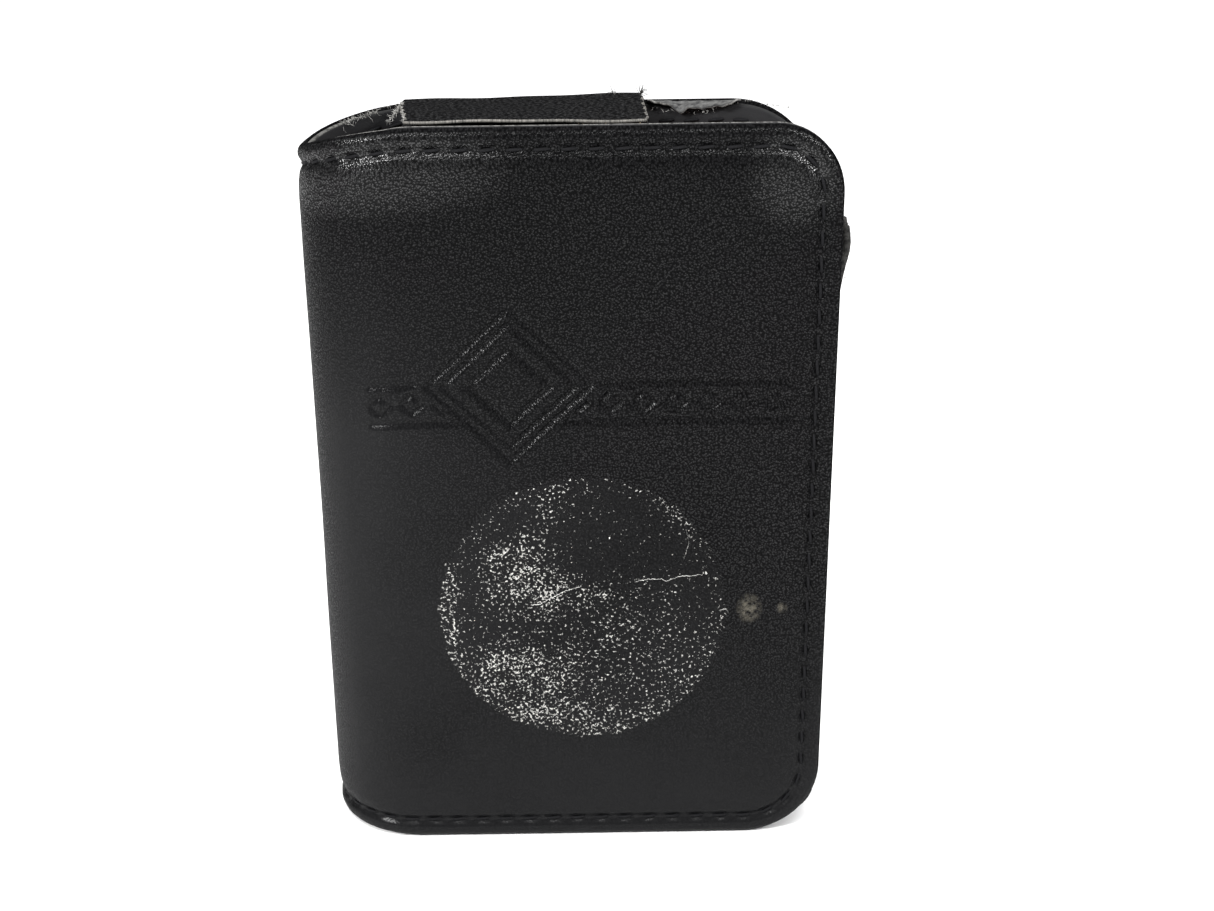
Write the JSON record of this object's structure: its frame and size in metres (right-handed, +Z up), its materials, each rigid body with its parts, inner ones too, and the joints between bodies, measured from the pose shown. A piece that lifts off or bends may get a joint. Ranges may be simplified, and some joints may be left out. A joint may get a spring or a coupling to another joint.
{
  "type": "transistor pocket radio in a leather carrying case",
  "caption": "Slim pocket radio inside a standing book-style leather case: hinged front cover, half-round spine, window pouch, strap over the top, thumbwheels for tuning and volume.",
  "frame": {"origin": "centre of the bounding box's bottom face, on the surface that the case stands on", "axes": "+Z up along the case's height; +X to the right, seen from the front cover; +Y from the front cover to the back cover"},
  "size_m": [0.0696, 0.025, 0.0994],
  "materials": {
    "leather": "black pebbled leather, soft satin",
    "lining": "smooth black cloth-backed lining",
    "board": "grey-brown stiffening board",
    "hook_and_loop": "black hook and loop tape",
    "magnet": "plated thin magnet",
    "case_plastic": "oxblood moulded plastic, polished",
    "cream_plastic": "cream moulded plastic",
    "dark_plastic": "dark moulded plastic",
    "clear_plastic": "clear acrylic",
    "grille_metal": "gold-coloured perforated sheet",
    "steel": "plated steel",
    "circuit": "brown phenolic board",
    "ferrite": "dark ferrite",
    "copper": "copper wire",
    "paper": "pressed paper cone",
    "cell": "painted cell jacket"
  },
  "bodies": {
    "root": {"back_cover_leather": "leather", "pouch_side_wall": "leather", "pouch_front_frame": "leather", "strap_root": "leather", "catch_tab": "leather", "back_cover_lining": "lining", "back_cover_board": "board", "catch_loop_tape": "hook_and_loop", "frame_magnet": "magnet", "radio_front_shell": "case_plastic", "radio_back_shell": "case_plastic", "battery_door": "case_plastic", "earphone_jack": "dark_plastic", "electrolytic_1": "dark_plastic", "electrolytic_2": "dark_plastic", "dial_window": "clear_plastic", "tuning_capacitor": "clear_plastic", "speaker_grille": "grille_metal", "case_screw_1": "steel", "case_screw_2": "steel", "case_screw_3": "steel", "speaker_basket": "steel", "volume_potentiometer": "steel", "intermediate_can_1": "steel", "intermediate_can_2": "steel", "intermediate_can_3": "steel", "driver_transformer": "steel", "output_transformer": "steel", "transistor_1": "steel", "transistor_2": "steel", "transistor_3": "steel", "contact_plate_lower": "steel", "contact_plate_upper": "steel", "contact_spring_lower": "steel", "contact_spring_upper": "steel", "circuit_board": "circuit", "ferrite_rod": "ferrite", "antenna_coil": "copper", "speaker_cone": "paper", "cell_lower": "cell", "cell_upper": "cell"},
    "spine": {"spine_leather": "leather", "spine_lining": "lining"},
    "cover": {"front_cover_leather": "leather", "front_cover_board": "board", "front_cover_lining": "lining", "cover_magnet": "magnet"},
    "strap": {"top_strap": "leather", "strap_hook_tape": "hook_and_loop"},
    "tuning": {"tuning_wheel": "cream_plastic", "tuning_shaft": "steel"},
    "volume": {"volume_wheel": "cream_plastic", "volume_shaft": "steel"}
  },
  "joints": [
    {"name": "spine_fold", "type": "hinge", "parent": "root", "child": "spine", "pos_m": [-0.03114, 0.00884, 0.0494], "axis": [0, 0, -1], "range_deg": [0, 90]},
    {"name": "cover_fold", "type": "hinge", "parent": "spine", "child": "cover", "pos_m": [-0.03114, -0.00884, 0.0494], "axis": [0, 0, -1], "range_deg": [0, 90]},
    {"name": "strap_fold", "type": "hinge", "parent": "root", "child": "strap", "pos_m": [-0.00665, 0.01045, 0.0994], "axis": [-1, 0, 0], "range_deg": [0, 165]},
    {"name": "tuning_turn", "type": "hinge", "parent": "root", "child": "tuning", "pos_m": [0.018, -0.0054, 0.079], "axis": [0, -1, 0], "range_deg": [-90, 90]},
    {"name": "volume_turn", "type": "hinge", "parent": "root", "child": "volume", "pos_m": [-0.015, -0.0054, 0.0804], "axis": [0, -1, 0], "range_deg": [0, 270]}
  ]
}
